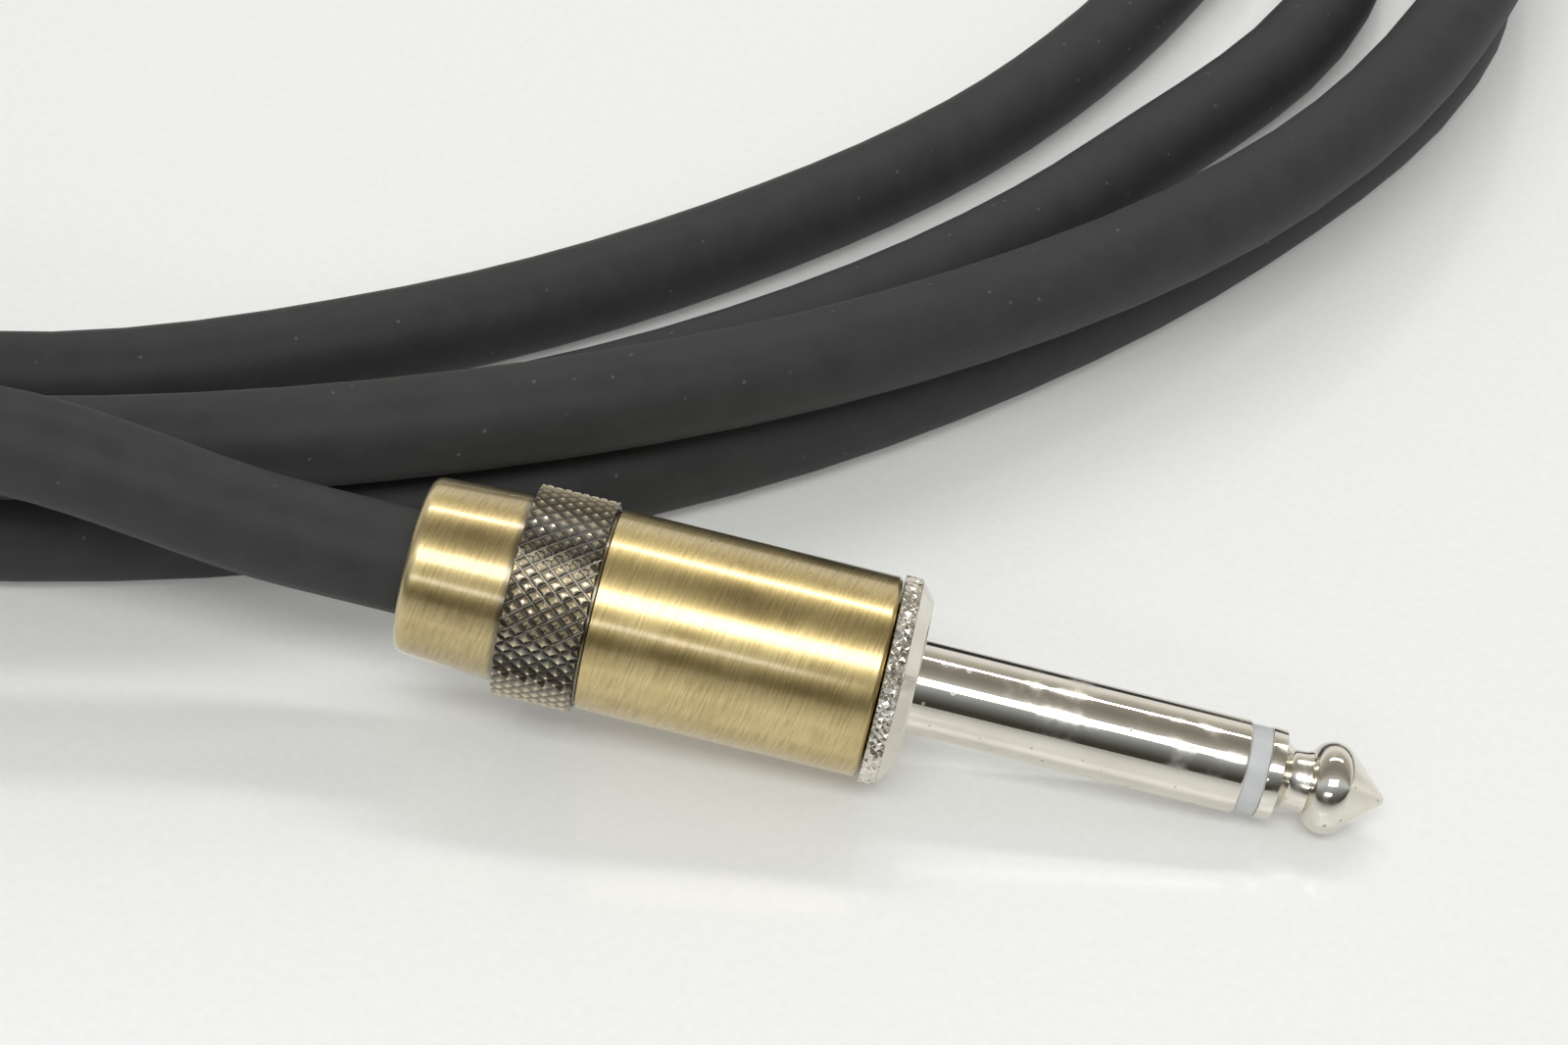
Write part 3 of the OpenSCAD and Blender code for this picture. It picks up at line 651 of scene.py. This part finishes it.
lug = bmesh.new()
turned(lug, softened([(rod_hole_r, head_face), (lug_ring_r, head_face), (lug_ring_r, washer_end),
                      (rod_hole_r, washer_end)], stamped_edge), sides=64)
tab_tip = arc(0, 90, 8)[1:]
tab = bend_over(tab_from, head_face + lug_t / 2 + tab_lift, tab_mid - tab_from, 1)
tab += [(tab_mid, tab_half), (tab_mid, lug_end + tab_round)]
tab += [(tab_mid, lug_end + tab_round * (1 - math.sin(a))) for a in tab_tip]
tab_widths = [lug_w] * (len(tab) - len(tab_tip)) + [lug_w * max(tab_least, math.cos(a)) for a in tab_tip]
bent_strip(lug, tab, tab_widths, lug_t, stamped_edge)
fitted("tip_solder_lug", shaped("tip_solder_lug", lug), tinned, "tip_lug")


# Ground clamp: a tinned steel stamping, a seat round the neck, a strap and two arms.
# The seat is pressed on behind the thread, and the arms are closed round the cable's jacket.
seat_r, seat_t, seat_hole_r, strap_t, strap_w = 4.6, 0.8, hub_r + 0.02, 0.5, 3
strap_mid, strap_from, strap_sunk, strap_end_w = -4.15, -3.65, 0.3, 2.4
strap_stops = -12, -17, -19.4
arm_in, arm_out, arm_open = 3.65, 4.25, 23
arm_from, arm_to, arm_round, arm_steps, round_steps = -23.5, -19.9, 0.7, 60, 6

steel = mottled("plated_steel", ((0.3, (0.56, 0.55, 0.52)), (0.7, (0.70, 0.69, 0.66))),
                grain=(3000, 3000, 250), detail=4, gloss=(0.2, 0.38), relief=0.2, depth=0.03, metallic=1)

clamp = bmesh.new()
turned(clamp, softened([(seat_hole_r, boss_end - seat_t), (seat_r, boss_end - seat_t), (seat_r, boss_end),
                        (seat_hole_r, boss_end)], stamped_edge), sides=64)
strap = bend_over(strap_from, boss_end - strap_sunk, strap_from - strap_mid, -1)
strap += [(strap_mid, z) for z in (*strap_stops, arm_from + 0.4, arm_from)]
bent_strip(clamp, strap, [strap_w] * (len(strap) - 1) + [strap_end_w], strap_t, stamped_edge)
arms = []
for k, a in enumerate(arc(90 + arm_open, 450 - arm_open, arm_steps)):
    short = arm_round * max(0, 1 - min(k, arm_steps - k) / round_steps) ** 2
    back, front, e = arm_from + short, arm_to - short, stamped_edge
    corners = ((arm_in, back + e), (arm_in + e, back), (arm_out - e, back), (arm_out, back + e),
               (arm_out, front - e), (arm_out - e, front), (arm_in + e, front), (arm_in, front - e))
    arms.append([clamp.verts.new(spun(r, a, z)) for r, z in corners])
lofted(clamp, arms)
fitted("cable_clamp", shaped("cable_clamp", clamp), steel, "ground_clamp")


# Solder beads: one holds the conductor on the tip's lug, the other the shield tail on the clamp's strap.
# Each is a smooth drop that has wetted the metal under it and drawn out along the wire.
lug_bead_at, lug_bead_r, lug_face = (0, 1.65, -13.9), 0.95, 2
strap_bead_at, strap_bead_r, strap_face = (0, -3.55, -13.4), 1, -3.9
drawn_out, drawn_in, uneven, wet_gap, wet_spread = 0.16, 0.12, 0.03, 0.01, 1.08


def solder_drop(mesh, at, r, face):
    away = -1 if face > 0 else 1
    drop = bmesh.ops.create_icosphere(mesh, subdivisions=4, radius=1)["verts"]
    for vert in drop:
        x, y, z = vert.co
        run = 1 + drawn_out * abs(z) ** 3 + uneven * math.sin(5 * x + 3 * z)
        vert.co = (at[0] + r * x * (1 - drawn_in * z * z), at[1] + r * y * 0.98, at[2] + r * z * run)
        if (vert.co.y - face) * away < wet_gap:
            vert.co.y = face + wet_gap * away
            vert.co.x *= wet_spread


solder = mottled("bright_solder", ((0.35, (0.46, 0.465, 0.47)), (0.65, (0.64, 0.645, 0.65))),
                 grain=1600, detail=5, gloss=(0.16, 0.36), relief=0.15, depth=0.04, metallic=1)

for name, node, at, r, face in (("lug_bead", "tip_solder", lug_bead_at, lug_bead_r, lug_face),
                                ("strap_bead", "ground_solder", strap_bead_at, strap_bead_r, strap_face)):
    bead = bmesh.new()
    solder_drop(bead, at, r, face)
    fitted(name, shaped(name, bead), solder, node)


# Liner: a black plastic sleeve that keeps the soldered joints off the shell.
# It lies loose inside the shell against a step in its bore, and comes off the plug with it.
liner_in, liner_out = 5, 5.5
liner_from, liner_to = -24.1, -7.5

black = mottled("black_sleeving", ((0.3, (0.012, 0.012, 0.013)), (0.7, (0.026, 0.026, 0.028))),
                grain=500, detail=5, gloss=(0.3, 0.48), relief=0.2, depth=0.05)

liner = bmesh.new()
turned(liner, softened([(liner_in, liner_from), (liner_out, liner_from), (liner_out, liner_to),
                        (liner_in, liner_to)], 0.12), sides=96)
fitted("black_liner", shaped("black_liner", liner), black, "shell_liner", "liner")


# Shell: the screw-off brass handle, with a long barrel, a knurled band, a smooth rear taper and a round edge.
# It is turned, knurled with a diamond wheel and darkened, brushed back to brass on a slant and lacquered.
shell_front, barrel_r, front_bevel = -0.1, 6.85, 0.25
band_front, band_back, band_cut = -19.5, -25, 0.3
band_diamonds, band_rows, band_edge, band_flat, band_wear = 44, 9, 0.14, 0.22, 0.02
band_floor_r, band_inner_r = 6.75, 6.6
seam_w, seam_cut = 0.22, 0.22
waist_r, rear_r, rear_edge = 6.4, 6, 0.8
hole_r, shell_bore, stop_r, stop_z, floor_z = 4, 5.55, 5.05, -24.4, -29
# Stretch along the axis for the worn rear edge, the darker rear taper and the painted shade lines beside the
# band.
wear_and_shade_from, wear_and_shade_to = -33, -18

brass, tree, skin, place = new_finish("antique_brass")
skin.inputs["Metallic"].default_value = 1
skin.inputs["Anisotropic"].default_value = 0.45
skin.inputs["Coat Weight"].default_value = 1
skin.inputs["Coat Roughness"].default_value = 0.15
skin.inputs["Coat IOR"].default_value = 1.7
skin.inputs["Anisotropic Rotation"].default_value = 0.25
around = added(tree, "Tangent", direction_type="RADIAL", axis="Z")
tree.links.new(around.outputs["Tangent"], skin.inputs["Tangent"])
cross = added(tree, "SeparateXYZ", {"Vector": place}).outputs
turn = added(tree, "Math", {0: cross["Y"], 1: cross["X"]}, operation="ARCTAN2")
girth = added(tree, "Math", {0: turn.outputs["Value"], 1: barrel_r * mm}, operation="MULTIPLY")
unrolled = added(tree, "CombineXYZ", {"X": girth.outputs["Value"], "Y": cross["Z"]}).outputs["Vector"]


def strokes(slant, stroke, width):
    laid = added(tree, "Mapping", {"Vector": unrolled, "Rotation": (0, 0, slant),
                                   "Scale": (stroke * mm, width * mm, 1)}, vector_type="TEXTURE")
    return added(tree, "TexNoise", {"Vector": laid.outputs["Vector"], "Scale": 1, "Detail": 3,
                                    "Roughness": 0.6}).outputs["Fac"]


brushed = strokes(slant=-0.17, stroke=2.2, width=0.15)
scratches = strokes(slant=-0.1, stroke=8, width=0.3)
cloudy = added(tree, "TexNoise", {"Vector": place, "Scale": 210, "Detail": 5,
                                  "Roughness": 0.62}).outputs["Fac"]
gold = graded(tree, brushed, ((0.3, (0.44, 0.326, 0.124)), (0.5, (0.59, 0.457, 0.192)),
                              (0.7, (0.69, 0.551, 0.258))))
aged = graded(tree, cloudy, ((0.34, (0.86, 0.83, 0.76)), (0.6, (1, 1, 1))))
tinted = added(tree, "Mix", {"Factor": 1.0, "A": gold, "B": aged}, data_type="RGBA", blend_type="MULTIPLY")
pits = added(tree, "TexVoronoi", {"Vector": place, "Scale": 900})
pitted = added(tree, "MapRange", {"Value": pits.outputs["Distance"], "From Min": 0.08, "From Max": 0.16,
                                  "To Min": 0.8, "To Max": 0})
patches = added(tree, "TexNoise", {"Vector": place, "Scale": 130, "Detail": 2}).outputs["Fac"]
pitting = added(tree, "MapRange", {"Value": patches, "From Min": 0.57, "From Max": 0.64,
                                   "To Max": pitted.outputs["Result"]})
spotted = added(tree, "Mix", {"Factor": pitting.outputs["Result"], "A": tinted.outputs["Result"],
                              "B": (0.09, 0.06, 0.025, 1)}, data_type="RGBA")
height = added(tree, "MapRange", {"Value": from_axis(tree, place), "From Min": barrel_r * mm,
                                  "From Max": band_r * mm}).outputs["Result"]
banded = graded(tree, height, ((0, (0, 0, 0)), (0.07, (1, 1, 1))))
# The knurl by height: a pale painted highlight along the groove bottoms, dark patina on the flanks and bare
# brass on the tops.
knurl_patina_and_glint = graded(tree, height, ((0.14, (0.50, 0.475, 0.42)), (0.22, (0.14, 0.125, 0.10)),
                                (0.5, (0.19, 0.165, 0.125)), (0.85, (0.62, 0.535, 0.37))))
patina = added(tree, "Mix", {"Factor": banded, "A": spotted.outputs["Result"], "B": knurl_patina_and_glint},
               data_type="RGBA")
# Along the rear of the shell: the rear edge is worn back to bright brass, and the rear taper is darker. Two
# thin dark lines of painted shade lie in the step behind the knurled band and in the groove in front of it.
station = added(tree, "MapRange", {"Value": cross["Z"], "From Min": wear_and_shade_from * mm,
                                   "From Max": wear_and_shade_to * mm}).outputs["Result"]
rubbed = graded(tree, station, ((0.06, (1, 1, 1)), (0.13, (0, 0, 0))))
darkening_stops = ((0.1, 0), (0.2, 0.13), (0.5, 0.18), (0.52, 0.8), (0.533, 0.8), (0.536, 0),
        (0.898, 0), (0.902, 0.85), (0.913, 0.85), (0.918, 0))
seam_shade_and_dark_taper = graded(tree, station, [(stop, (share, share, share)) for stop, share in darkening_stops])
worn = added(tree, "Mix", {"Factor": rubbed, "A": patina.outputs["Result"], "B": (0.74, 0.63, 0.36, 1)},
             data_type="RGBA")
# The dark colour mixed in here is the darker rear taper and the painted shade lines beside the band.
darkened_brass = added(tree, "Mix", {"Factor": seam_shade_and_dark_taper, "A": worn.outputs["Result"], "B": (0.10, 0.08, 0.05, 1)},
               data_type="RGBA")
polish = added(tree, "MapRange", {"Value": cloudy, "From Min": 0.3, "From Max": 0.7,
                                  "To Min": 0.29, "To Max": 0.4}).outputs["Result"]
shiny = added(tree, "MapRange", {"Value": banded, "To Min": polish, "To Max": 0.2})
lines = added(tree, "Math", {0: brushed, 1: scratches}, operation="ADD")
relief = added(tree, "Bump", {"Height": lines.outputs["Value"], "Strength": 0.2, "Distance": 0.03 * mm})
tree.links.new(darkened_brass.outputs["Result"], skin.inputs["Base Color"])
tree.links.new(shiny.outputs["Result"], skin.inputs["Roughness"])
tree.links.new(relief.outputs["Normal"], skin.inputs["Normal"])

seam_r, seam_front = barrel_r - seam_cut, band_front + seam_w
shell = bmesh.new()
turned(shell, softened([(hole_r, plug_rear, 0.25), (rear_r, plug_rear, rear_edge), (waist_r, band_back, 0.05),
                        (band_floor_r, band_back, 0), (band_floor_r, band_front, 0), (seam_r, band_front, 0),
                        (seam_r, seam_front - 0.06, 0.05), (barrel_r, seam_front, 0.06),
                        (barrel_r, shell_front - front_bevel, 0.1),
                        (barrel_r - front_bevel, shell_front, 0.08), (shell_bore, shell_front, 0.15),
                        (shell_bore, stop_z), (stop_r, stop_z), (stop_r, floor_z),
                        (hole_r, floor_z, 0.2)], 0.04, 6), sides=128)
diamonds(shell, band_r, band_cut, band_inner_r, band_back, band_front, band_diamonds, band_rows,
         band_flat, band_edge, band_wear)
fitted("brass_shell", shaped("brass_shell", shell), brass, "shell", "shell")
